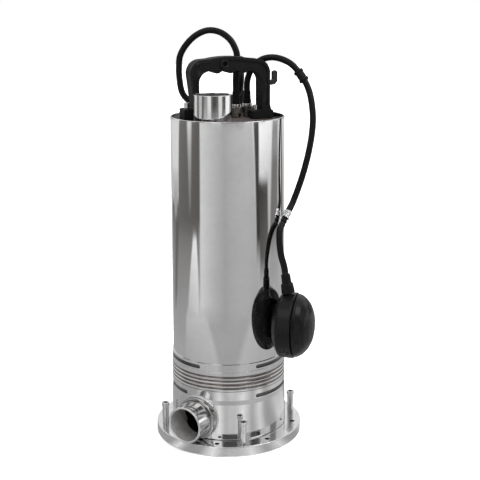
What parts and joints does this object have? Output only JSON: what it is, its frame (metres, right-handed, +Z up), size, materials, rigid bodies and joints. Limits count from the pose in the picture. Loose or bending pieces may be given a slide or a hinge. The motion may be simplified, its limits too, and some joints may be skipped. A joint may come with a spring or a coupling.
{
  "type": "submersible sump pump",
  "caption": "Upright submersible pump: polished steel body on a round base flange, side inlet, top outlet, plastic handle, float switch and coiled mains lead.",
  "frame": {"origin": "centre of the base flange's underside, on the shaft's axis", "axes": "+Z up along the shaft's axis, -Y towards the front of the picture, +X to its right"},
  "size_m": [0.1876, 0.3213, 0.4722],
  "materials": {
    "polished_steel": "mirror-polished stainless steel",
    "satin_steel": "plain machined stainless steel",
    "cast_steel": "machined casting",
    "moulded_plastic": "glass-filled moulding",
    "black_plastic": "fine-grained black moulding",
    "black_rubber": "smooth black cable rubber",
    "clear_plastic": "milky clear nylon",
    "lamination": "stacked laminations",
    "copper_wire": "varnished winding wire",
    "seal_ceramic": "ground ceramic",
    "brass_pins": "plated pins"
  },
  "bodies": {
    "pump": {"base_flange": "polished_steel", "flange_bolt_1": "satin_steel", "flange_bolt_2": "satin_steel", "flange_bolt_3": "satin_steel", "flange_bolt_4": "satin_steel", "suction_casing": "polished_steel", "inlet_stub": "polished_steel", "inlet_collar": "polished_steel", "ribbed_collar": "polished_steel", "slotted_band": "polished_steel", "slot_liner": "cast_steel", "outer_jacket": "polished_steel", "top_lid": "moulded_plastic", "outlet_stub": "polished_steel", "power_gland": "satin_steel", "float_gland": "satin_steel", "power_boot": "black_rubber", "float_boot": "black_rubber", "handle": "black_plastic", "handle_screw_left": "satin_steel", "handle_screw_right": "satin_steel", "cable_hook": "black_plastic", "suction_cover": "satin_steel", "stage_sleeve": "satin_steel", "diffuser_1": "moulded_plastic", "diffuser_2": "moulded_plastic", "diffuser_3": "moulded_plastic", "motor_can": "satin_steel", "stator": "lamination", "winding_lower": "copper_wire", "winding_upper": "copper_wire", "bearing_upper": "satin_steel", "bearing_lower": "satin_steel", "bearing_bracket": "cast_steel", "seal_housing": "cast_steel", "cable_duct": "satin_steel", "power_cable": "black_rubber", "power_coil": "black_rubber", "power_cable_end": "black_rubber", "coil_tie": "black_plastic", "plug_body": "black_rubber", "plug_pin_1": "brass_pins", "plug_pin_2": "brass_pins", "float_cable_upper": "black_rubber", "cable_sleeve": "black_plastic", "body_clip": "clear_plastic"},
    "impeller_shaft": {"motor_shaft": "satin_steel", "rotor": "lamination", "impeller_1": "moulded_plastic", "impeller_2": "moulded_plastic", "impeller_3": "moulded_plastic", "shaft_seal": "seal_ceramic"},
    "float_switch": {"cable_bead": "black_rubber", "float_cable_lower": "black_rubber", "float_relief": "black_rubber", "float_shell_inner": "black_plastic", "float_shell_outer": "black_plastic"}
  },
  "joints": [
    {"name": "shaft_spin", "type": "hinge", "parent": "pump", "child": "impeller_shaft", "pos_m": [0, 0, 0.2], "axis": [0, 0, 1], "continuous": true},
    {"name": "float_swing", "type": "hinge", "parent": "pump", "child": "float_switch", "pos_m": [0.0633, -0.03, 0.2586], "axis": [-0.5, -0.866, 0], "range_deg": [0, 100]}
  ]
}
